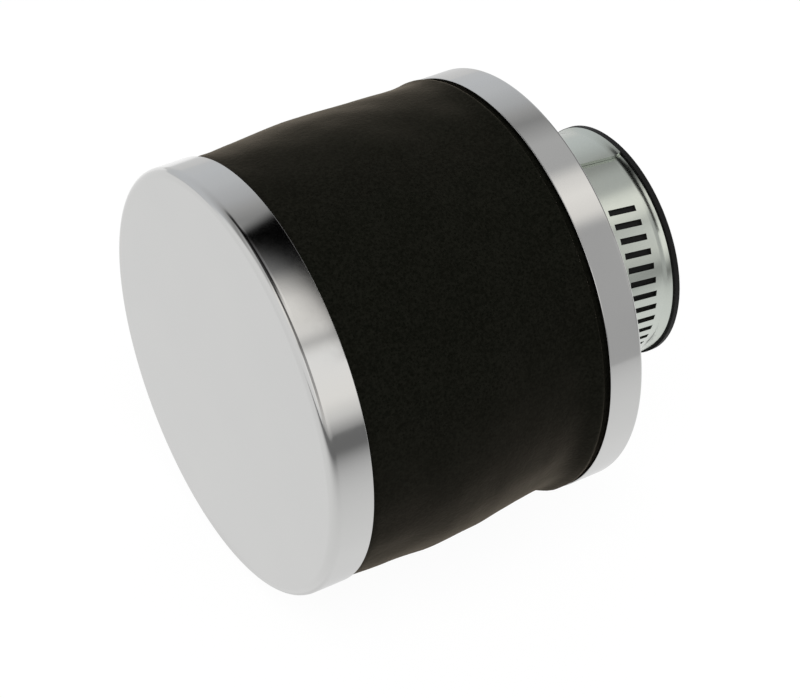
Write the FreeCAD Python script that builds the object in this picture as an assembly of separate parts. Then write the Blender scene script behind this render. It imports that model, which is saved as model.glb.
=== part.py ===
"""Clamp-on foam air filter: two drawn metal caps, a foam sleeve on an expanded-metal core,
a rubber neck and a worm-drive band clamp.

Millimetres. The origin is the centre of the neck's mouth, +X leaves the mouth along the
filter's axis and +Z is up as the filter lies. Angles round the clamp start at the top (+Z)
and grow toward the -Y side.
"""
import FreeCAD, Part
import math
import os

from FreeCAD import Vector

os.makedirs("parts", exist_ok=True)

# Driving sizes
CAP_DIAMETER = 90.0
BODY_LENGTH = 71.0
NECK_LENGTH = 23.9
FRONT_RIM_DEPTH = 8.9
REAR_RIM_DEPTH = 7.7
CAP_SHEET = 0.6
FRONT_CORNER = 1.9
REAR_CORNER = 0.6

FOAM_SWELL = 1.4
CORE_DIAMETER = 66.0
CORE_WALL = 0.8
CORE_ROWS = 6
CORE_OPENINGS = 10
CORE_STRAND = 2.4
BED_DEPTH = 2.2
BED_GROOVE = 1.2

NECK_BORE = 42.0
NECK_WALL = 2.2
LIP_HEIGHT = 2.2
LIP_THICKNESS = 1.3
LIP_BEVEL = 0.25
SHOULDER_HEIGHT = 3.6
SHOULDER_THICKNESS = 2.0
SHOULDER_BEVEL = 0.9
NECK_SEAT_HEIGHT = 0.8
NECK_FLANGE_MARGIN = 2.7

BAND_WIDTH = 13.6
BAND_THICKNESS = 0.7
SLOT_PITCH = 3.11
SLOT_WIDTH = 1.3
SLOT_LENGTH = 6.3
SLOT_SLANT = 6.9
EDGE_ROLL_WIDTH = 1.8
EDGE_ROLL_HEIGHT = 0.6

SCREW_ROOT_DIAMETER = 6.0
THREAD_ROOM = 0.9
HEAD_ACROSS_FLATS = 8.0
HEAD_HEIGHT = 5.0
HEAD_SLOT_WIDTH = 1.2
HEAD_SLOT_DEPTH = 1.6
HOUSING_LENGTH = 16.0
HOUSING_SHEET = 0.8

# Fits: the gap between fixed pieces that touch, and the play that a turning piece needs
SEAT_GAP = 0.05
RUNNING_GAP = 0.08

# Places along the axis
CAP_RADIUS = CAP_DIAMETER / 2
CAP_INSIDE = CAP_RADIUS - CAP_SHEET
FRONT_FACE = -(NECK_LENGTH + BODY_LENGTH)
REAR_FACE = -NECK_LENGTH
FRONT_RIM_EDGE = FRONT_FACE + FRONT_RIM_DEPTH
REAR_RIM_EDGE = REAR_FACE - REAR_RIM_DEPTH
FRONT_BED_START = FRONT_FACE + CAP_SHEET + SEAT_GAP
FRONT_BED_END = FRONT_BED_START + BED_DEPTH
REAR_BED_END = REAR_FACE - CAP_SHEET - SEAT_GAP
REAR_BED_START = REAR_BED_END - BED_DEPTH

# Places out from the axis
CORE_OUTSIDE = CORE_DIAMETER / 2
CORE_INSIDE = CORE_OUTSIDE - CORE_WALL
NECK_INSIDE = NECK_BORE / 2
NECK_OUTSIDE = NECK_INSIDE + NECK_WALL
NECK_SEAT = NECK_OUTSIDE + NECK_SEAT_HEIGHT
FLANGE_RADIUS = CORE_INSIDE - NECK_FLANGE_MARGIN
BED_OUTSIDE = CAP_INSIDE - SEAT_GAP
BED_INSIDE = FLANGE_RADIUS + SEAT_GAP

# The clamp's layers, from the rubber outward
BAND_EDGE = -(LIP_THICKNESS + SEAT_GAP)
BAND_MIDDLE = BAND_EDGE - BAND_WIDTH / 2
LAYER_STEP = BAND_THICKNESS + SEAT_GAP
FIRST_LAYER = NECK_OUTSIDE + SEAT_GAP
TAIL_LAYER = FIRST_LAYER + LAYER_STEP
BASE_INSIDE = TAIL_LAYER
BASE_OUTSIDE = BASE_INSIDE + HOUSING_SHEET
PASS_LAYER = BASE_OUTSIDE + SEAT_GAP
SCREW_ROOT = SCREW_ROOT_DIAMETER / 2
SCREW_DROP = PASS_LAYER + BAND_THICKNESS + THREAD_ROOM + SCREW_ROOT

# Angles round the band, in degrees: it starts under the housing, goes once round, rises
# through the housing and lies down over its own first layer as the tail
HOUSING_ANGLE = 180.0
BAND_START = 168.0
ROLL_START = 201.0
ROLL_FULL = 213.0
RISE_START = 480.0
RISE_END = 518.0
FALL_START = 562.0
FALL_END = 600.0
TAIL_TIP = 726.6
TIP_SPARE = 4.0
FIRST_SLOT = 397.0
LAST_SLOT = 690.0

AXIS = Vector(1, 0, 0)


def turned(profile):
    """A solid of revolution about the filter's axis from (along, out) corners."""
    corners = [Vector(along, 0, out) for along, out in profile]
    wire = Part.makePolygon(corners + corners[:1])
    return Part.Face(wire).revolve(Vector(0, 0, 0), AXIS, 360)


def rounded(shape, along, out, radius):
    """The shape with its circular edge at that place rounded off."""
    chosen = []
    for edge in shape.Edges:
        curve = edge.Curve
        if isinstance(curve, Part.Circle) and abs(curve.Radius - out) < 1e-4:
            if abs(curve.Center.x - along) < 1e-4:
                chosen.append(edge)
    return shape.makeFillet(radius, chosen)


def cylinder(radius, start, end):
    """A solid cylinder on the filter's axis."""
    return Part.makeCylinder(radius, end - start, Vector(start, 0, 0), AXIS)


def tube(inside, outside, start, end):
    """A plain tube on the filter's axis."""
    return cylinder(outside, start, end).cut(cylinder(inside, start, end))


def block(start, end, left, right, low, high):
    """A box between two corners."""
    size = (end - start, right - left, high - low)
    return Part.makeBox(*size, Vector(start, left, low))


def around(degrees, radius, along=0.0):
    """The point at an angle round the clamp."""
    angle = math.radians(degrees)
    return Vector(along, -radius * math.sin(angle), radius * math.cos(angle))


def make_front_cap():
    """A closed cup with its mouth toward the neck."""
    inner_face = FRONT_FACE + CAP_SHEET
    cup = turned([
        (FRONT_FACE, 0), (FRONT_FACE, CAP_RADIUS),
        (FRONT_RIM_EDGE, CAP_RADIUS), (FRONT_RIM_EDGE, CAP_INSIDE),
        (inner_face, CAP_INSIDE), (inner_face, 0),
    ])
    cup = rounded(cup, FRONT_FACE, CAP_RADIUS, FRONT_CORNER)
    return rounded(cup, inner_face, CAP_INSIDE, FRONT_CORNER - CAP_SHEET)


def make_rear_cap():
    """A cup with its mouth toward the front, pierced for the neck."""
    inner_face = REAR_FACE - CAP_SHEET
    hole = NECK_SEAT + SEAT_GAP
    cup = turned([
        (REAR_FACE, hole), (REAR_FACE, CAP_RADIUS),
        (REAR_RIM_EDGE, CAP_RADIUS), (REAR_RIM_EDGE, CAP_INSIDE),
        (inner_face, CAP_INSIDE), (inner_face, hole),
    ])
    return rounded(cup, REAR_FACE, CAP_RADIUS, REAR_CORNER)


def core_groove(edge, way):
    """The room that the core's end takes in a resin bed."""
    depth = BED_GROOVE + SEAT_GAP
    ends = sorted([edge, edge + way * depth])
    return tube(CORE_INSIDE - SEAT_GAP, CORE_OUTSIDE + SEAT_GAP, ends[0], ends[1])


def make_front_potting():
    """The resin bed that holds foam and core in the front cap."""
    bed = cylinder(BED_OUTSIDE, FRONT_BED_START, FRONT_BED_END)
    bed = rounded(bed, FRONT_BED_START, BED_OUTSIDE, FRONT_CORNER - CAP_SHEET - SEAT_GAP)
    return bed.cut(core_groove(FRONT_BED_END, -1))


def make_rear_potting():
    """The resin ring that holds foam, core and the neck's flange in the rear cap."""
    ring = tube(BED_INSIDE, BED_OUTSIDE, REAR_BED_START, REAR_BED_END)
    return ring.cut(core_groove(REAR_BED_START, 1))


def make_core_tube():
    """The expanded-metal tube that carries the foam, with staggered diamond openings."""
    start = FRONT_BED_END - BED_GROOVE
    end = REAR_BED_START + BED_GROOVE
    shell = tube(CORE_INSIDE, CORE_OUTSIDE, start, end)
    row_pitch = (REAR_BED_START - FRONT_BED_END) / (CORE_ROWS + 1)
    step = 360.0 / CORE_OPENINGS
    half_along = row_pitch - CORE_STRAND / math.sin(math.radians(45))
    half_round = math.pi * CORE_DIAMETER / CORE_OPENINGS / 2 - CORE_STRAND
    diamond = Part.Face(Part.makePolygon([
        Vector(-half_along, 0, 0), Vector(0, -half_round, 0), Vector(half_along, 0, 0),
        Vector(0, half_round, 0), Vector(-half_along, 0, 0),
    ]))
    cutter = diamond.extrude(Vector(0, 0, CORE_OUTSIDE * 1.5))
    openings = []
    for row in range(CORE_ROWS):
        along = FRONT_BED_END + (row + 1) * row_pitch
        for number in range(CORE_OPENINGS):
            opening = cutter.copy()
            opening.translate(Vector(along, 0, 0))
            opening.rotate(Vector(0, 0, 0), AXIS, (number + 0.5 * (row % 2)) * step)
            openings.append(opening)
    return shell.cut(openings)


def make_foam_sleeve():
    """The foam: flush inside the rims, swelling a little where it is free."""
    start = FRONT_BED_END + SEAT_GAP
    end = REAR_BED_START - SEAT_GAP
    inside = CORE_OUTSIDE + SEAT_GAP
    held = CAP_INSIDE - SEAT_GAP
    free = REAR_RIM_EDGE - FRONT_RIM_EDGE
    swell = [(0, 0), (0.06, 0.5), (0.3, 0.95), (0.6, 0.8), (0.93, 0.3), (1, 0)]
    points = []
    for share, height in swell:
        points.append(Vector(FRONT_RIM_EDGE + share * free, 0, held + height * FOAM_SWELL))
    skin = Part.BSplineCurve()
    skin.interpolate(points)
    sides = Part.makePolygon([
        points[-1], Vector(end, 0, held), Vector(end, 0, inside),
        Vector(start, 0, inside), Vector(start, 0, held), points[0],
    ])
    wire = Part.Wire(Part.__sortEdges__(sides.Edges + [skin.toShape()]))
    return Part.Face(wire).revolve(Vector(0, 0, 0), AXIS, 360)


def make_neck_sleeve():
    """The rubber neck: a flange and a shoulder grip the rear cap, a lip keeps the clamp on."""
    cap_front = REAR_FACE - CAP_SHEET - SEAT_GAP
    cap_back = REAR_FACE + SEAT_GAP
    shoulder = NECK_OUTSIDE + SHOULDER_HEIGHT
    shoulder_end = cap_back + SHOULDER_THICKNESS
    lip = NECK_OUTSIDE + LIP_HEIGHT
    neck = turned([
        (REAR_BED_START, NECK_INSIDE), (REAR_BED_START, FLANGE_RADIUS),
        (cap_front, FLANGE_RADIUS), (cap_front, NECK_SEAT), (cap_back, NECK_SEAT),
        (cap_back, shoulder), (shoulder_end - SHOULDER_BEVEL, shoulder),
        (shoulder_end, shoulder - SHOULDER_BEVEL), (shoulder_end, NECK_OUTSIDE),
        (-LIP_THICKNESS, NECK_OUTSIDE), (-LIP_THICKNESS, lip), (-LIP_BEVEL, lip),
        (0, lip - LIP_BEVEL), (0, NECK_INSIDE),
    ])
    reach = HOUSING_LENGTH / 2 + 2 * RUNNING_GAP
    relief = block(-LIP_THICKNESS, 0, -reach, reach, -2 * lip, 0)
    return neck.cut(relief.cut(cylinder(NECK_OUTSIDE, -LIP_THICKNESS, 0)))


def band_radius(degrees):
    """The radius of the band's inner side at an angle along its path."""
    def eased(start, end, low, high):
        share = (degrees - start) / (end - start)
        return low + (high - low) * share * share * (3 - 2 * share)

    if degrees <= RISE_START:
        return FIRST_LAYER
    if degrees < RISE_END:
        return eased(RISE_START, RISE_END, FIRST_LAYER, PASS_LAYER)
    if degrees <= FALL_START:
        return PASS_LAYER
    if degrees < FALL_END:
        return eased(FALL_START, FALL_END, PASS_LAYER, TAIL_LAYER)
    return TAIL_LAYER


def edge_roll(degrees):
    """How far the band's edges are rolled up at an angle: flat where the housing holds it."""
    def eased(start, end):
        share = (degrees - start) / (end - start)
        return share * share * (3 - 2 * share)

    if degrees <= ROLL_START or RISE_END <= degrees <= FALL_START:
        return 0.0
    if degrees < ROLL_FULL:
        return EDGE_ROLL_HEIGHT * eased(ROLL_START, ROLL_FULL)
    if RISE_START < degrees < RISE_END:
        return EDGE_ROLL_HEIGHT * (1 - eased(RISE_START, RISE_END))
    if FALL_START < degrees < FALL_END:
        return EDGE_ROLL_HEIGHT * eased(FALL_START, FALL_END)
    return EDGE_ROLL_HEIGHT


def band_section(degrees):
    """The strip's outline across its width at an angle along its path."""
    radius = band_radius(degrees)
    roll = edge_roll(degrees)
    half = BAND_WIDTH / 2
    flat = half - EDGE_ROLL_WIDTH

    def point(across, height):
        return around(degrees, radius + height, BAND_MIDDLE + across)

    def rolled_edge(side, base):
        inner = point(side * flat, base)
        middle = point(side * (flat + half) / 2, base + roll / 4)
        outer = point(side * half, base + roll)
        if roll == 0:
            return Part.makeLine(inner, outer)
        return Part.Arc(inner, middle, outer).toShape()

    edges = []
    for base in (0, BAND_THICKNESS):
        edges.append(Part.makeLine(point(-flat, base), point(flat, base)))
        edges.append(rolled_edge(-1, base))
        edges.append(rolled_edge(1, base))
    for side in (-1, 1):
        edges.append(Part.makeLine(point(side * half, roll), point(side * half, roll + BAND_THICKNESS)))
    return Part.Wire(Part.__sortEdges__(edges))


def strip_turn(start, end):
    """A stretch of the strip that keeps its radius."""
    return Part.Face(band_section(start)).revolve(Vector(0, 0, 0), AXIS, end - start)


def strip_ramp(start, end):
    """A stretch of the strip that changes its radius or its edges."""
    steps = 6
    sections = [band_section(start + (end - start) * step / steps) for step in range(steps + 1)]
    return Part.makeLoft(sections, True)


def slanted_bar(degrees, length, near, far, height):
    """A bar across the strip at an angle, slanted as the screw's thread is."""
    bar = Part.makeBox(length, far - near, height, Vector(-length / 2, near, -height / 2))
    bar.rotate(Vector(0, 0, 0), Vector(0, 0, 1), -SLOT_SLANT)
    bar.translate(Vector(BAND_MIDDLE, 0, band_radius(degrees) + BAND_THICKNESS / 2))
    bar.rotate(Vector(0, 0, 0), AXIS, degrees)
    return bar


def make_clamp_band():
    """The clamp's one long strip, with the slanted slots that the screw drives."""
    tail = strip_turn(FALL_END, TAIL_TIP + TIP_SPARE)
    tail = tail.cut(slanted_bar(TAIL_TIP, 2 * BAND_WIDTH, -BAND_WIDTH, 0, BAND_WIDTH))
    strip = tail.fuse([
        strip_turn(BAND_START, ROLL_START), strip_ramp(ROLL_START, ROLL_FULL),
        strip_turn(ROLL_FULL, RISE_START), strip_ramp(RISE_START, RISE_END),
        strip_turn(RISE_END, FALL_START), strip_ramp(FALL_START, FALL_END),
    ]).removeSplitter()
    slots = []
    degrees = FIRST_SLOT
    while degrees <= LAST_SLOT:
        reach = BAND_THICKNESS + SEAT_GAP
        slots.append(slanted_bar(degrees, SLOT_LENGTH, -SLOT_WIDTH / 2, SLOT_WIDTH / 2, reach))
        degrees += math.degrees(SLOT_PITCH / (band_radius(degrees) + BAND_THICKNESS / 2))
    return strip.cut(slots)


def housing_section(sheet):
    """The housing's outline across the clamp, drawn a sheet's thickness inside its skin."""
    half = BAND_WIDTH / 2 + RUNNING_GAP + HOUSING_SHEET - sheet
    roof = SCREW_ROOT + THREAD_ROOM + RUNNING_GAP + HOUSING_SHEET - sheet
    knee = PASS_LAYER + 2 * BAND_THICKNESS + HOUSING_SHEET - sheet
    left = BAND_MIDDLE - half
    right = BAND_MIDDLE + half
    spring_left = Vector(BAND_MIDDLE - roof, 0, -SCREW_DROP)
    spring_right = Vector(BAND_MIDDLE + roof, 0, -SCREW_DROP)
    crown = Vector(BAND_MIDDLE, 0, -SCREW_DROP - roof)
    sides = Part.makePolygon([
        spring_left, Vector(left, 0, -knee), Vector(left, 0, -NECK_INSIDE),
        Vector(right, 0, -NECK_INSIDE), Vector(right, 0, -knee), spring_right,
    ])
    arch = Part.Arc(spring_right, crown, spring_left).toShape()
    return Part.Face(Part.Wire(Part.__sortEdges__(sides.Edges + [arch])))


def housing_prism(sheet, left, right):
    """The housing's section swept along the screw."""
    prism = housing_section(sheet).extrude(Vector(0, right - left, 0))
    prism.translate(Vector(0, left, 0))
    return prism


def on_screw(radius, start, end):
    """A cylinder on the screw's axis."""
    place = Vector(BAND_MIDDLE, start, -SCREW_DROP)
    return Part.makeCylinder(radius, end - start, place, Vector(0, 1, 0))


HALF_HOUSING = HOUSING_LENGTH / 2
SCREW_NECK = SCREW_ROOT - 0.5
SCREW_PILOT = SCREW_ROOT - 1.0


def make_clamp_housing():
    """The pressed saddle round the screw: a curved base, sides, an arched roof, pierced ends."""
    shell = housing_prism(0, -HALF_HOUSING, HALF_HOUSING)
    shell = shell.cut(housing_prism(HOUSING_SHEET, -HALF_HOUSING, HALF_HOUSING))
    room = housing_prism(0, -HALF_HOUSING, HALF_HOUSING)
    inner = HALF_HOUSING - HOUSING_SHEET
    room = room.cut(housing_prism(0, -inner, inner))
    sill = PASS_LAYER + 2 * BAND_THICKNESS
    start = BAND_MIDDLE - BAND_WIDTH
    end = BAND_MIDDLE + BAND_WIDTH
    ends = room.cut(block(start, end, -HOUSING_LENGTH, HOUSING_LENGTH, -sill, 0))
    ends = ends.cut(on_screw(SCREW_NECK + RUNNING_GAP, -HOUSING_LENGTH, 0))
    ends = ends.cut(on_screw(SCREW_PILOT + RUNNING_GAP, 0, HOUSING_LENGTH))
    half = BAND_WIDTH / 2 + RUNNING_GAP + HOUSING_SHEET
    base = tube(BASE_INSIDE, BASE_OUTSIDE, BAND_MIDDLE - half, BAND_MIDDLE + half)
    low = -2 * BASE_OUTSIDE
    base = base.common(block(start, end, -HALF_HOUSING, HALF_HOUSING, low, 0))
    housing = shell.fuse([ends, base]).cut(cylinder(BASE_INSIDE, start, end))
    return housing.removeSplitter()


def make_clamp_screw():
    """The worm's shank with its hexagon head, slotted for a screwdriver."""
    inner = HALF_HOUSING - HOUSING_SHEET - RUNNING_GAP
    head_start = HALF_HOUSING + RUNNING_GAP
    shank = on_screw(SCREW_ROOT, -inner, inner)
    neck = on_screw(SCREW_NECK, -head_start, -inner)
    pilot = on_screw(SCREW_PILOT, inner, HALF_HOUSING + HOUSING_SHEET)
    reach = HEAD_ACROSS_FLATS / math.sqrt(3)
    corners = []
    for number in range(7):
        angle = math.radians(60 * number)
        corners.append(Vector(BAND_MIDDLE + reach * math.cos(angle), -head_start,
                              -SCREW_DROP + reach * math.sin(angle)))
    head = Part.Face(Part.makePolygon(corners)).extrude(Vector(0, -HEAD_HEIGHT, 0))
    top = -head_start - HEAD_HEIGHT
    half = HEAD_SLOT_WIDTH / 2
    slot = block(BAND_MIDDLE - reach * 2, BAND_MIDDLE + reach * 2, top, top + HEAD_SLOT_DEPTH,
                 -SCREW_DROP - half, -SCREW_DROP + half)
    return shank.fuse([neck, pilot, head.cut(slot)]).removeSplitter()


PIECES = {
    "front_cap": make_front_cap,
    "front_potting": make_front_potting,
    "core_tube": make_core_tube,
    "foam_sleeve": make_foam_sleeve,
    "rear_potting": make_rear_potting,
    "rear_cap": make_rear_cap,
    "neck_sleeve": make_neck_sleeve,
    "clamp_band": make_clamp_band,
    "clamp_housing": make_clamp_housing,
    "clamp_screw": make_clamp_screw,
}

for node, make in PIECES.items():
    shape = make()
    if len(shape.Solids) == 1:
        shape = shape.Solids[0]
    print(node, "solids", len(shape.Solids), "valid", shape.isValid(), "volume", round(shape.Volume, 1))
    shape.exportStep("parts/" + node + ".step")
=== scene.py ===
"""Looks of the clamp-on foam air filter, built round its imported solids.

The scene is in metres, in the solids' frame: the origin is the centre of the neck's mouth, +X
leaves the mouth along the filter's axis, +Z is up. The sizes named below are in millimetres.
Angles round the filter start at the top and grow toward the -Y side, which is nearer to the camera.
"""
import math

import bpy
from mathutils import Matrix, Vector, noise


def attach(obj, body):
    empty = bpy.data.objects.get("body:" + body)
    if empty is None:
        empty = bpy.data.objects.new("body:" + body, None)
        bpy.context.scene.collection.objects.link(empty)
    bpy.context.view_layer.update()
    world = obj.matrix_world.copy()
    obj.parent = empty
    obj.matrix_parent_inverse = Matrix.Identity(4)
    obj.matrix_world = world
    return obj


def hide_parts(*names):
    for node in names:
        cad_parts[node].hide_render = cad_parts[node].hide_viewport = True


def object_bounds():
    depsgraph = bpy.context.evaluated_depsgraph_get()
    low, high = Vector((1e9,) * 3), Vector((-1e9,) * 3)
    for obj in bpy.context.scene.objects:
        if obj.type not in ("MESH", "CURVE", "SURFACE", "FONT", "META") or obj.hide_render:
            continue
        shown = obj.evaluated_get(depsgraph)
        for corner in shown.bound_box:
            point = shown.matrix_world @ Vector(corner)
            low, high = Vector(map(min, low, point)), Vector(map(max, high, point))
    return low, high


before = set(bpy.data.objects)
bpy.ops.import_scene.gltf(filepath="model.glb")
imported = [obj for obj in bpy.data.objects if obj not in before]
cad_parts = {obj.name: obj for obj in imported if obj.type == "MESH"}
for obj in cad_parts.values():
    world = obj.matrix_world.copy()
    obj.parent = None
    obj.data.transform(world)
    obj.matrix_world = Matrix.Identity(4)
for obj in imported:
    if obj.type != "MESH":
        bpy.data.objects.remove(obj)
cad_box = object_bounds()

MM = 0.001

# The caps: places along the axis, radii from it, the sheet and its roundings.
FRONT_FACE = -94.9
FRONT_RIM_EDGE = -86.0
REAR_FACE = -23.9
REAR_RIM_EDGE = -31.6
CAP_RADIUS = 45.0
CAP_SHEET = 0.6
FRONT_CORNER = 1.9
REAR_CORNER = 0.6
NECK_HOLE = 24.05
SHEET_EDGE = 0.15

# How finely the caps are cut.
TURNED_SEGMENTS = 288
CORNER_STEPS = 10
CORNER_LEAD = 1.12

# The foam inside the caps.
FOAM_START = -92.0
FOAM_END = -26.8
FOAM_INSIDE = 33.05
FOAM_HELD = 44.35

# The clamp's screw and its thread.
SCREW_PLACE = (-8.15, 0.0, -29.45)
SCREW_ROOT = 3.0
THREAD_FOOT = SCREW_ROOT - 0.2
THREAD_FOOT_HALF = 0.75
THREAD_CREST = 3.78
THREAD_CREST_HALF = 0.3
THREAD_PITCH = 3.1
THREAD_HALF = 6.6
THREAD_STEPS_PER_TURN = 40
THREAD_RUN_IN_STEPS = 10


class Wire:
    """A node socket that takes part in plain arithmetic and can add any other node."""

    def __init__(self, tree, socket=None):
        self.tree = tree
        self.socket = socket

    def node(self, kind, settings=(), inputs=(), output=0):
        """Adds a node: its settings first, then the values or links of its sockets.

        The setting "stops" is a colour ramp's list of places and colours.
        """
        made = self.tree.nodes.new(kind)
        for name, value in dict(settings).items():
            if name == "stops":
                elements = made.color_ramp.elements
                while len(elements) < len(value):
                    elements.new(1.0)
                for element, (place, colour) in zip(elements, value):
                    element.position = place
                    element.color = colour
            else:
                setattr(made, name, value)
        for key, value in dict(inputs).items():
            if isinstance(value, Wire):
                self.tree.links.new(value.socket, made.inputs[key])
            else:
                made.inputs[key].default_value = value
        return Wire(self.tree, made.outputs[output])

    def out(self, name):
        """Another output of the node that this socket is on."""
        return Wire(self.tree, self.socket.node.outputs[name])

    def maths(self, operation, left, right=0.0):
        """One step of arithmetic on wires or plain numbers."""
        return self.node("ShaderNodeMath", {"operation": operation}, {0: left, 1: right})

    def __add__(self, other):
        return self.maths("ADD", self, other)

    __radd__ = __add__

    def __sub__(self, other):
        return self.maths("SUBTRACT", self, other)

    def __rsub__(self, other):
        return self.maths("SUBTRACT", other, self)

    def __mul__(self, other):
        return self.maths("MULTIPLY", self, other)

    def __truediv__(self, other):
        return self.maths("DIVIDE", self, other)

    def eased(self, start, end):
        """0 up to start, 1 from end on, smooth between."""
        settings = {"interpolation_type": "SMOOTHSTEP"}
        inputs = {"Value": self, "From Min": start, "From Max": end, "To Min": 0.0, "To Max": 1.0}
        return self.node("ShaderNodeMapRange", settings, inputs)

    def blend(self, first, second):
        """The first colour where this value is 0, the second where it is 1."""
        settings = {"data_type": "RGBA"}
        return self.node("ShaderNodeMix", settings, {0: self, 6: first, 7: second}, output=2)


def grey(value, warmth=0.0):
    """A grey as a colour, a little yellower where warmth is above 0."""
    return (value, value * (1 - 0.4 * warmth), value * (1 - warmth), 1.0)


def new_material(name):
    """An empty material and the wire to draw its nodes with."""
    material = bpy.data.materials.new(name)
    material.use_nodes = True
    material.node_tree.nodes.clear()
    return material, Wire(material.node_tree)


def finish_material(wire, surface):
    """Links a surface to the material's output."""
    out = wire.tree.nodes.new("ShaderNodeOutputMaterial")
    wire.tree.links.new(surface.socket, out.inputs["Surface"])


def cloud(wire, place, scale, detail=3.0, rough=0.5):
    """Soft noise between 0 and 1."""
    inputs = {"Vector": place, "Scale": scale, "Detail": detail, "Roughness": rough}
    return wire.node("ShaderNodeTexNoise", {}, inputs)


def bump(wire, height, strength, distance):
    """A normal that rises and falls with a height."""
    inputs = {"Height": height, "Strength": strength, "Distance": distance}
    return wire.node("ShaderNodeBump", {}, inputs)


def plated_metal(name, colour, tint, rough, wave):
    """Bright plate: slow waves in the sheet, faint clouds in the shine, a trace of tint."""
    material, wire = new_material(name)
    place = wire.node("ShaderNodeTexCoord", output="Object")
    slow = cloud(wire, place, 60.0, 2.0)
    fine = cloud(wire, place, 900.0, 4.0)
    shade = slow.blend(colour, tint)
    surface = wire.node("ShaderNodeBsdfPrincipled", {}, {
        "Base Color": shade,
        "Metallic": 1.0,
        "Roughness": rough + (fine - 0.5) * rough * 0.5,
        "Normal": bump(wire, slow + fine * 0.02, wave, 0.0004),
    })
    finish_material(wire, surface)
    return material


def foam_material():
    """Black open-cell foam: fine soft pores, faint patches, a brown bloom seen edge-on."""
    material, wire = new_material("foam_black")
    place = wire.node("ShaderNodeTexCoord", output="Object")
    cell_inputs = {"Vector": place, "Scale": 1900.0}
    cells = wire.node("ShaderNodeTexVoronoi", {"feature": "SMOOTH_F1"}, cell_inputs)
    depth = cells.out("Distance")
    patches = cloud(wire, place, 130.0, 5.0, 0.65)
    grain = cloud(wire, place, 1300.0, 4.0, 0.7)
    mottled = (patches * 0.2 + grain * 0.8).eased(0.36, 0.64)
    shade = mottled.blend((0.0026, 0.0028, 0.0019, 1.0), (0.0054, 0.0056, 0.0041, 1.0))
    pitted = depth.eased(0.05, 0.45).blend((0.0018, 0.0020, 0.0013, 1.0), shade)
    surface = wire.node("ShaderNodeBsdfPrincipled", {}, {
        "Base Color": pitted,
        "Roughness": 1.0,
        "Specular IOR Level": 0.02,
        "Sheen Weight": 0.22,
        "Sheen Roughness": 0.34,
        "Sheen Tint": (0.90, 0.78, 0.63, 1.0),
        "Normal": bump(wire, depth * 0.6 + grain, 0.15, 0.0003),
    })
    finish_material(wire, surface)
    return material


def rubber_material():
    """Moulded black rubber with a dusty bloom."""
    material, wire = new_material("rubber_black")
    place = wire.node("ShaderNodeTexCoord", output="Object")
    bloom = cloud(wire, place, 120.0, 4.0, 0.6)
    grain = cloud(wire, place, 2600.0, 2.0)
    shade = bloom.blend((0.004, 0.004, 0.004, 1.0), (0.008, 0.008, 0.008, 1.0))
    surface = wire.node("ShaderNodeBsdfPrincipled", {}, {
        "Base Color": shade,
        "Roughness": 0.42 + bloom * 0.2,
        "Specular IOR Level": 0.12,
        "Normal": bump(wire, grain, 0.25, 0.0002),
    })
    finish_material(wire, surface)
    return material


def resin_material():
    """Cast dark resin, a little uneven where it set."""
    material, wire = new_material("resin_dark")
    place = wire.node("ShaderNodeTexCoord", output="Object")
    swirl = cloud(wire, place, 90.0, 3.0)
    shade = swirl.blend((0.018, 0.018, 0.019, 1.0), (0.032, 0.031, 0.030, 1.0))
    surface = wire.node("ShaderNodeBsdfPrincipled", {}, {
        "Base Color": shade,
        "Roughness": 0.3 + swirl * 0.2,
        "Normal": bump(wire, swirl, 0.3, 0.0006),
    })
    finish_material(wire, surface)
    return material


def rounded_outline(corners):
    """An outline of (along, out) points from corners with a rounding radius each.

    One more point a little before and after each rounding keeps the flats flat in the shading.
    """
    outline = []
    count = len(corners)
    for number, (along, out, radius) in enumerate(corners):
        if radius <= 0:
            outline.append((along, out))
            continue
        here = Vector((along, out))
        before = Vector(corners[number - 1][:2])
        after = Vector(corners[(number + 1) % count][:2])
        to_before = (before - here).normalized() * radius
        to_after = (after - here).normalized() * radius
        centre = here + to_before + to_after
        outline.append(tuple(here + to_before * CORNER_LEAD))
        for step in range(CORNER_STEPS + 1):
            angle = math.pi / 2 * step / CORNER_STEPS
            outline.append(tuple(centre - to_after * math.cos(angle) - to_before * math.sin(angle)))
        outline.append(tuple(here + to_after * CORNER_LEAD))
    return outline


def round_axis(along, out, angle):
    """A point in metres, at a place along the filter's axis and a distance out from it."""
    return (along * MM, -out * MM * math.sin(angle), out * MM * math.cos(angle))


def join_rings(rings, closed):
    """The faces between neighbouring rings; a ring of one vertex is a point on the axis."""
    pairs = list(zip(rings, rings[1:]))
    if closed:
        pairs.append((rings[-1], rings[0]))
    faces = []
    for first, second in pairs:
        count = max(len(first), len(second))
        for number in range(count):
            after = (number + 1) % count
            if len(first) == 1:
                faces.append((first[0], second[after], second[number]))
            elif len(second) == 1:
                faces.append((first[number], first[after], second[0]))
            else:
                faces.append((first[number], first[after], second[after], second[number]))
    return faces


def turned_piece(name, outline, closed):
    """A mesh turned about the filter's axis; points on the axis become one vertex."""
    verts = []
    rings = []
    for along, out in outline:
        segments = TURNED_SEGMENTS if out > 1e-6 else 1
        ring = []
        for number in range(segments):
            ring.append(len(verts))
            verts.append(round_axis(along, out, 2 * math.pi * number / segments))
        rings.append(ring)
    return mesh_piece(name, verts, join_rings(rings, closed))


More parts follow.
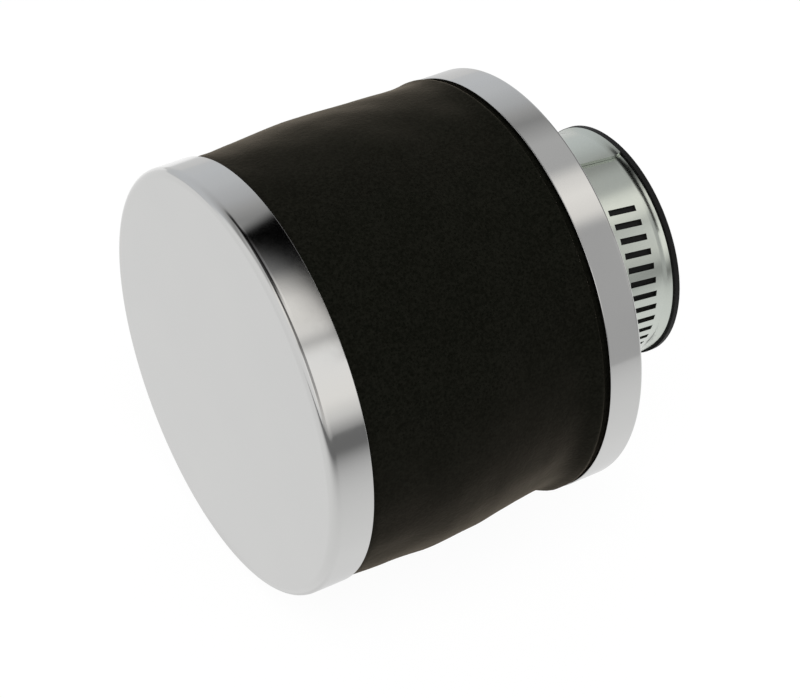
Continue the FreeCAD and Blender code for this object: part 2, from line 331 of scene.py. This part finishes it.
def mesh_piece(name, verts, faces):
    """A smooth-shaded mesh object whose faces point outward."""
    mesh = bpy.data.meshes.new(name)
    mesh.from_pydata(verts, [], faces)
    mesh.validate()
    mesh.polygons.foreach_set("use_smooth", [True] * len(mesh.polygons))
    piece = bpy.data.objects.new(name, mesh)
    bpy.context.collection.objects.link(piece)
    bpy.context.view_layer.objects.active = piece
    bpy.ops.object.select_all(action="DESELECT")
    piece.select_set(True)
    bpy.ops.object.mode_set(mode="EDIT")
    bpy.ops.mesh.select_all(action="SELECT")
    bpy.ops.mesh.normals_make_consistent(inside=False)
    bpy.ops.object.mode_set(mode="OBJECT")
    return piece


def dress(piece, material):
    """Gives a piece one material."""
    piece.data.materials.clear()
    piece.data.materials.append(material)


def sheet_piece(name, corners, faces, material):
    """A plain sheet for the set round the filter."""
    mesh = bpy.data.meshes.new(name)
    mesh.from_pydata(corners, [], faces)
    sheet = bpy.data.objects.new(name, mesh)
    bpy.context.collection.objects.link(sheet)
    dress(sheet, material)
    return sheet


def make_caps():
    """Both caps as drawn sheet, with the rolled corner and the eased edge of the rim."""
    inside = CAP_RADIUS - CAP_SHEET
    inner_front = FRONT_FACE + CAP_SHEET
    front = turned_piece("front_cap_shell", rounded_outline([
        (FRONT_FACE, 0.0, 0),
        (FRONT_FACE, CAP_RADIUS, FRONT_CORNER),
        (FRONT_RIM_EDGE, CAP_RADIUS, SHEET_EDGE),
        (FRONT_RIM_EDGE, inside, SHEET_EDGE),
        (inner_front, inside, FRONT_CORNER - CAP_SHEET),
        (inner_front, 0.0, 0),
    ]), closed=False)
    inner_rear = REAR_FACE - CAP_SHEET
    rear = turned_piece("rear_cap_shell", rounded_outline([
        (REAR_FACE, NECK_HOLE, SHEET_EDGE),
        (REAR_FACE, CAP_RADIUS, REAR_CORNER),
        (REAR_RIM_EDGE, CAP_RADIUS, SHEET_EDGE),
        (REAR_RIM_EDGE, inside, SHEET_EDGE),
        (inner_rear, inside, 0),
        (inner_rear, NECK_HOLE, SHEET_EDGE),
    ]), closed=True)
    return front, rear


# The foam's radius over its top and under its belly, by the distance from the front face.
FOAM_OVER = [
    (8.9, 44.35), (10.0, 44.45), (14.2, 44.5), (17.6, 44.75), (24.6, 45.2), (31.7, 45.45), (38.7, 45.35),
    (45.7, 45.05), (52.7, 45.05), (58.0, 44.8), (60.2, 44.95), (61.2, 45.2), (61.8, 45.2), (62.0, 43.8),
    (63.3, 43.6),
]
FOAM_UNDER = [
    (8.9, 44.35), (10.0, 44.6), (14.3, 44.9), (19.6, 45.05), (24.6, 45.4), (28.6, 45.6), (33.7, 45.5),
    (39.7, 45.1), (43.2, 44.65), (46.3, 44.25), (49.7, 43.8), (53.7, 43.45), (55.6, 43.35), (57.3, 43.4),
    (58.8, 43.75), (60.2, 44.45), (61.0, 44.85), (61.8, 44.95), (62.0, 43.6), (63.3, 43.4),
]
FOAM_GROOVE = 1.4
FOAM_FULLEST_TURN = math.radians(-44)
FOAM_AROUND = 560
FOAM_ROWS = 124
FOAM_GROOVE_ROWS = 36

# The curves are smoothed over steps and weights; the steps shrink toward the groove's sharp edge.
SMOOTHING = [(-2.0, 1.0), (-1.0, 2.0), (0.0, 3.0), (1.0, 2.0), (2.0, 1.0)]
SMOOTHING_TOTAL = sum(weight for _, weight in SMOOTHING)
LONGEST_STEP = 0.5
SHORTEST_STEP = 0.03
STEP_SHARE = 0.4

# The foam's dents and its two sizes of pore: how close they lie and how deep; both fade at the rims.
FOAM_RELIEF = [(0.12, 0.22), (1.1, 0.018), (2.3, 0.014)]
RELIEF_FADE = 2.0


def along_curve(points, place):
    """A height on a list of (place, height) points, straight from point to point."""
    if place <= points[0][0]:
        return points[0][1]
    for (start, low), (end, high) in zip(points, points[1:]):
        if place <= end:
            return low + (high - low) * (place - start) / (end - start)
    return points[-1][1]


def foam_radius(place, angle):
    """The foam's skin: fuller over the top, pinched and flared below, grooved beside the rear rim."""
    share = 0.5 - 0.5 * math.cos(angle - FOAM_FULLEST_TURN)
    before_groove = REAR_RIM_EDGE - FRONT_FACE - FOAM_GROOVE - place
    step = max(SHORTEST_STEP, min(LONGEST_STEP, before_groove * STEP_SHARE))
    total = 0.0
    for offset, weight in SMOOTHING:
        upper = along_curve(FOAM_OVER, place + offset * step)
        lower = along_curve(FOAM_UNDER, place + offset * step)
        total += weight * (upper + (lower - upper) * share)
    return total / SMOOTHING_TOTAL


def foam_relief(place, angle):
    """Soft dents and fine pores in the foam's skin."""
    spot = Vector((place, CAP_RADIUS * math.sin(angle), CAP_RADIUS * math.cos(angle)))
    return sum(noise.noise(spot * density) * depth for density, depth in FOAM_RELIEF)


def make_foam():
    """The foam sleeve: a dense skin with dents and pores, closed inside the caps."""
    free_start = FRONT_RIM_EDGE - FRONT_FACE
    free_end = REAR_RIM_EDGE - FRONT_FACE
    groove_start = free_end - 2 * FOAM_GROOVE
    places = []
    for row in range(FOAM_ROWS):
        places.append(free_start + (groove_start - free_start) * row / FOAM_ROWS)
    for row in range(FOAM_GROOVE_ROWS + 1):
        places.append(groove_start + (free_end - groove_start) * row / FOAM_GROOVE_ROWS)
    verts = []
    rings = []

    def add_ring(along, radius_at):
        ring = []
        for number in range(FOAM_AROUND):
            angle = 2 * math.pi * number / FOAM_AROUND
            ring.append(len(verts))
            verts.append(round_axis(along, radius_at(angle), angle))
        rings.append(ring)

    def skin(place):
        to_rim = min(place - free_start, free_end - place)
        free = max(0.0, min(1.0, to_rim / RELIEF_FADE))
        return lambda angle: foam_radius(place, angle) + free * foam_relief(place, angle)

    add_ring(FOAM_START, lambda angle: FOAM_INSIDE)
    add_ring(FOAM_START, lambda angle: FOAM_HELD)
    for place in places:
        add_ring(place + FRONT_FACE, skin(place))
    add_ring(FOAM_END, lambda angle: FOAM_HELD)
    add_ring(FOAM_END, lambda angle: FOAM_INSIDE)
    return mesh_piece("foam_skin", verts, join_rings(rings, closed=True))


def make_thread():
    """The worm's thread: one helical ridge round the screw's shank, fading in at both ends."""
    steps = int(THREAD_STEPS_PER_TURN * 2 * THREAD_HALF / THREAD_PITCH)
    section = [
        (-THREAD_FOOT_HALF, THREAD_FOOT),
        (-THREAD_CREST_HALF, THREAD_CREST),
        (THREAD_CREST_HALF, THREAD_CREST),
        (THREAD_FOOT_HALF, THREAD_FOOT),
    ]
    reach = THREAD_HALF - THREAD_FOOT_HALF
    verts = []
    for step in range(steps + 1):
        angle = 2 * math.pi * step / THREAD_STEPS_PER_TURN
        along = -reach + 2 * reach * step / steps
        run_in = min(1.0, step / THREAD_RUN_IN_STEPS, (steps - step) / THREAD_RUN_IN_STEPS)
        for offset, radius in section:
            height = THREAD_FOOT + (radius - THREAD_FOOT) * run_in
            verts.append((
                (SCREW_PLACE[0] + height * math.cos(angle)) * MM,
                (SCREW_PLACE[1] + along + offset) * MM,
                (SCREW_PLACE[2] + height * math.sin(angle)) * MM,
            ))
    size = len(section)
    faces = []
    for step in range(steps):
        first = step * size
        second = first + size
        for corner in range(size):
            after = (corner + 1) % size
            faces.append((first + corner, first + after, second + after, second + corner))
    faces.append(tuple(range(size)))
    faces.append(tuple(steps * size + corner for corner in range(size)))
    return mesh_piece("screw_thread", verts, faces)


# The floor's size and its clearance under the filter, in metres.
FLOOR_HALF = 3.0
FLOOR_GAP = 0.0002


def make_floor():
    """A pale floor: white to the camera, with a trace of the filter's shadow.

    The metal sees it in tones: darker toward the camera, bright behind the body, dimmer far off
    behind the neck, and a shadow of the filter painted on it underneath.
    """
    material, wire = new_material("floor_white")
    path = wire.node("ShaderNodeLightPath", output="Is Camera Ray")
    place = wire.node("ShaderNodeNewGeometry", output="Position")
    across = wire.node("ShaderNodeSeparateXYZ", {}, {0: place}).out("Y")
    along = across.out("X")
    near_side = (across * -1.0).eased(0.02, 0.38).blend(grey(0.925), grey(0.20))
    behind = (across.eased(0.10, 0.14) * along.eased(-0.12, -0.06)).blend(near_side, grey(1.04))
    distant = across.eased(0.06, 0.12) * along.eased(0.005, 0.05)
    open_floor = distant.blend(behind, grey(0.74))
    beside = wire.maths("ABSOLUTE", across).eased(0.018, 0.050)
    # Painted shadow: under the filter the floor that the metal sees is darkened where the filter's shadow
    # falls.
    painted_shadow_under = (1.0 - beside) * along.eased(-0.098, -0.092) * (1.0 - along.eased(-0.030, 0.010))
    seen_in_metal = (painted_shadow_under * 0.20).blend(open_floor, grey(0.0))
    matte = wire.node("ShaderNodeBsdfDiffuse", {}, {"Color": grey(0.86)})
    white = wire.node("ShaderNodeEmission", {}, {"Color": grey(1.0), "Strength": 1.0})
    mirrored = wire.node("ShaderNodeEmission", {}, {"Color": seen_in_metal, "Strength": 1.0})
    for_camera = wire.node("ShaderNodeMixShader", {}, {0: 0.96, 1: matte, 2: white})
    in_metal = path.out("Is Glossy Ray")
    for_metal = wire.node("ShaderNodeMixShader", {}, {0: in_metal, 1: matte, 2: mirrored})
    surface = wire.node("ShaderNodeMixShader", {}, {0: path, 1: for_metal, 2: for_camera})
    finish_material(wire, surface)
    low = cad_box[0][2] - FLOOR_GAP
    signs = [(-1, -1), (1, -1), (1, 1), (-1, 1)]
    corners = [(x * FLOOR_HALF, y * FLOOR_HALF, low) for x, y in signs]
    floor = sheet_piece("floor", corners, [(0, 1, 2, 3)], material)


# The camera's heading, its downward tilt, and its place seen from the front face's centre.
CAMERA_TURN = math.radians(31.6425)
CAMERA_TILT = math.radians(38.5201)
CAMERA_OFFSET = (36.006, 7.422, 491.841)
FOCAL_PIXELS = 2475.88
PICTURE_WIDTH = 800


def make_camera():
    """The camera at the photograph's place, found from the caps' outlines."""
    data = bpy.data.cameras.new("camera")
    data.sensor_fit = "HORIZONTAL"
    data.sensor_width = 36.0
    data.lens = FOCAL_PIXELS * data.sensor_width / PICTURE_WIDTH
    data.clip_start = 0.01
    camera = bpy.data.objects.new("camera", data)
    bpy.context.collection.objects.link(camera)
    level_ahead = Vector((math.sin(CAMERA_TURN), math.cos(CAMERA_TURN), 0.0))
    upright = Vector((0.0, 0.0, 1.0))
    right = Vector((math.cos(CAMERA_TURN), -math.sin(CAMERA_TURN), 0.0))
    up = level_ahead * math.sin(CAMERA_TILT) + upright * math.cos(CAMERA_TILT)
    ahead = level_ahead * math.cos(CAMERA_TILT) - upright * math.sin(CAMERA_TILT)
    to_right, to_up, back = CAMERA_OFFSET
    place = Vector((FRONT_FACE, 0.0, 0.0)) + right * to_right + up * to_up - ahead * back
    turn = Matrix((right, up, -ahead)).transposed()
    camera.matrix_world = Matrix.Translation(place * MM) @ turn.to_4x4()
    bpy.context.scene.camera = camera


# The room's tone round the filter's axis: degrees from the top, level, warmth.
STUDIO_RING = [
    (-180, 0.94, 0.0), (-126, 0.94, 0.0), (-110, 0.90, 0.0), (-94, 0.68, -0.03), (-78, 0.70, -0.06),
    (-62, 0.68, -0.05), (-46, 0.57, -0.04), (-38, 0.46, 0.0), (-30, 0.33, 0.0), (-22, 0.46, 0.0),
    (-14, 0.58, 0.0), (3, 0.56, 0.0), (10, 0.98, 0.05), (20, 1.15, 0.06), (32, 1.02, 0.06),
    (38, 1.02, 0.05), (43.5, 0.66, 0.03), (48.5, 1.06, 0.03), (52, 1.12, 0.02), (74, 1.12, 0.05),
    (83, 0.86, 0.03), (92, 0.30, 0.0), (100, 0.26, 0.0), (180, 0.94, 0.0),
]


def turn_round_axis(parts):
    """Degrees round the filter's axis, of a place or a direction split into X, Y and Z."""
    return parts.maths("ARCTAN2", parts.out("Y") * -1.0, parts.out("Z")) * (180 / math.pi)


def make_studio():
    """A soft room: tones round the axis, a dark doorway overhead, dim beyond the neck."""
    world = bpy.data.worlds.new("studio")
    bpy.context.scene.world = world
    world.use_nodes = True
    world.node_tree.nodes.clear()
    wire = Wire(world.node_tree)
    aim = wire.node("ShaderNodeTexCoord", output="Generated")
    parts = wire.node("ShaderNodeSeparateXYZ", {}, {0: aim})
    along = parts.out("X")
    turn = turn_round_axis(parts)
    stops = [((angle + 180) / 360, grey(level, warmth)) for angle, level, warmth in STUDIO_RING]
    ring = wire.node("ShaderNodeValToRGB", {"stops": stops}, {0: turn / 360 + 0.5})
    doorway = along.eased(-0.22, -0.10) * (1.0 - along.eased(0.12, 0.24))
    doorway = doorway * turn.eased(-40.0, -30.0) * (1.0 - turn.eased(8.0, 28.0))
    far_end = along.eased(0.66, 0.90) * 0.85
    near_end = (along * -1.0).eased(0.62, 0.80)
    room = far_end.blend(doorway.blend(ring, grey(0.03)), grey(0.10))
    room = near_end.blend(room, grey(0.95))
    camera_ray = wire.node("ShaderNodeLightPath", output="Is Camera Ray")
    colour = camera_ray.blend(room, grey(1.0))
    out = wire.tree.nodes.new("ShaderNodeOutputWorld")
    surface = wire.node("ShaderNodeBackground", {}, {"Color": colour, "Strength": 1.0})
    wire.tree.links.new(surface.socket, out.inputs["Surface"])


def make_lamp(name, place, aim, size, power):
    """A soft lamp that lights the matt pieces and stays out of the metal's reflections."""
    data = bpy.data.lights.new(name, "AREA")
    data.size = size
    data.energy = power
    lamp = bpy.data.objects.new(name, data)
    bpy.context.collection.objects.link(lamp)
    lamp.location = place
    lamp.rotation_euler = (Vector(aim) - Vector(place)).to_track_quat("-Z", "Y").to_euler()
    lamp.visible_camera = False
    lamp.visible_glossy = False


def make_card(name, corners, level, thickness):
    """A studio card seen only in the metal; thickness draws how solid it is from place and turn."""
    material, wire = new_material(name + "_card")
    place = wire.node("ShaderNodeNewGeometry", output="Position")
    parts = wire.node("ShaderNodeSeparateXYZ", {}, {0: place})
    shade = wire.node("ShaderNodeEmission", {}, {"Color": grey(level), "Strength": 1.0})
    clear = wire.node("ShaderNodeBsdfTransparent", {}, {"Color": grey(1.0)})
    cover = thickness(parts, turn_round_axis(parts))
    surface = wire.node("ShaderNodeMixShader", {}, {0: cover, 1: clear, 2: shade})
    finish_material(wire, surface)
    faces = [(low, low + 1, low + 3, low + 2) for low in range(0, len(corners) - 2, 2)]
    card = sheet_piece(name, corners, faces, material)
    card.visible_camera = False
    card.visible_diffuse = False
    card.visible_shadow = False
    card.visible_transmission = False


CARD_REACH = 150.0
CARD_STEPS = 16


def bent_card(start, end, low, high):
    """The corners of a card bent round the filter's axis, between two angles and two places."""
    corners = []
    for step in range(CARD_STEPS + 1):
        angle = math.radians(start + (end - start) * step / CARD_STEPS)
        for along in (low, high):
            corners.append(round_axis(along, CARD_REACH, angle))
    return corners


def make_cards():
    """A black card over both rims, a grey one beside the rear rim, a dark one before the face."""

    def black(parts, turn):
        slant = parts.maths("MAXIMUM", parts.out("X") + 0.046, -0.005) * 2000.0
        foam_side = parts.maths("MAXIMUM", parts.out("X") + 0.0435, 0.0) * 6000.0
        lower_edge = (turn - slant - foam_side).eased(-3.0, 39.0)
        return (turn + slant * 0.2).eased(-18.5, -11.5) * (1.0 - lower_edge)

    def grey_side(parts, turn):
        to_neck = 1.0 - parts.out("X").eased(0.036, 0.048) * 0.32
        return turn.eased(33.0, 41.0) * to_neck

    def dark(parts, turn):
        edge = (parts.out("X") + turn * 0.0009).eased(-0.137, -0.123)
        fading = 0.95 - turn.eased(15.0, 60.0) * 0.35
        return edge * turn.eased(-17.0, -8.0) * parts.out("Z").eased(0.010, 0.075) * fading

    make_card("black_flag", bent_card(-26, 56, -106, 4), 0.0, black)
    make_card("grey_flag", bent_card(32, 104, -5, 78), 0.52, grey_side)
    make_card("dark_screen", bent_card(-18, 92, -172, -109), 0.02, dark)


chrome = plated_metal("cap_chrome", (0.60, 0.60, 0.595, 1.0), (0.62, 0.62, 0.61, 1.0), 0.10, 0.04)
zinc = plated_metal("clamp_zinc_plate", (0.56, 0.60, 0.56, 1.0), (0.62, 0.65, 0.59, 1.0), 0.20, 0.06)
screw_zinc = plated_metal("screw_zinc_plate", (0.50, 0.50, 0.48, 1.0), (0.58, 0.58, 0.54, 1.0), 0.26, 0.06)
core_steel = plated_metal("core_steel", (0.42, 0.42, 0.41, 1.0), (0.52, 0.52, 0.50, 1.0), 0.32, 0.08)
foam_black = foam_material()
rubber = rubber_material()
resin = resin_material()

front_cap, rear_cap = make_caps()
for cap, node in ((front_cap, "front_cap"), (rear_cap, "rear_cap")):
    dress(cap, chrome)
    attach(cap, "filter")
    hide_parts(node)

foam = make_foam()
dress(foam, foam_black)
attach(foam, "filter")
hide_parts("foam_sleeve")

thread = make_thread()
dress(thread, screw_zinc)
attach(thread, "screw")

FINISHES = {
    "front_potting": resin,
    "rear_potting": resin,
    "core_tube": core_steel,
    "neck_sleeve": rubber,
    "clamp_band": zinc,
    "clamp_housing": zinc,
    "clamp_screw": screw_zinc,
}
for node, material in FINISHES.items():
    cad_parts[node].material_slots[0].material = material

make_floor()
make_camera()
make_studio()
make_cards()
FILTER_MIDDLE = (-0.05, 0.0, 0.0)
make_lamp("lamp_over", (-0.25, -0.35, 0.75), FILTER_MIDDLE, 0.6, 6.0)
make_lamp("lamp_far", (0.30, 0.55, 0.55), FILTER_MIDDLE, 0.5, 3.0)
bpy.context.scene.view_settings.view_transform = "Standard"
